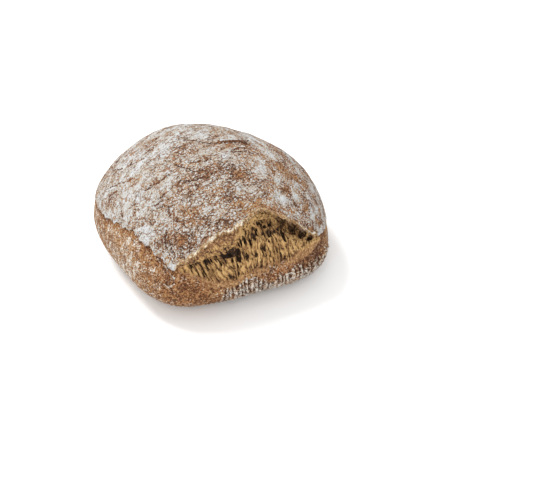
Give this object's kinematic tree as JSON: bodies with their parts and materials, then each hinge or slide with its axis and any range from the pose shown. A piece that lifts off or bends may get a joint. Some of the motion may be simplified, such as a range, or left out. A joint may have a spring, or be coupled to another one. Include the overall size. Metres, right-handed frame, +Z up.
{
  "type": "brown bread roll",
  "caption": "Rustic brown bread roll, a low rounded-square dome with a floured top crust and a ragged tear along one side that bares the stretched crumb; it rests on a flat base.",
  "frame": {"origin": "middle of the bounding box, on the surface that the roll rests on", "axes": "+Z up, the shortest way through the roll; +X along its longest side, with the torn side facing -Y"},
  "size_m": [0.1076, 0.1042, 0.0588],
  "materials": {
    "crust": "matte baked crust, red-brown under a mottled dusting of pale flour",
    "crumb": "matte porous golden-brown crumb",
    "flour": "matte pale flour dusting"
  },
  "bodies": {
    "root": {"bread_roll": "crust"}
  },
  "joints": []
}
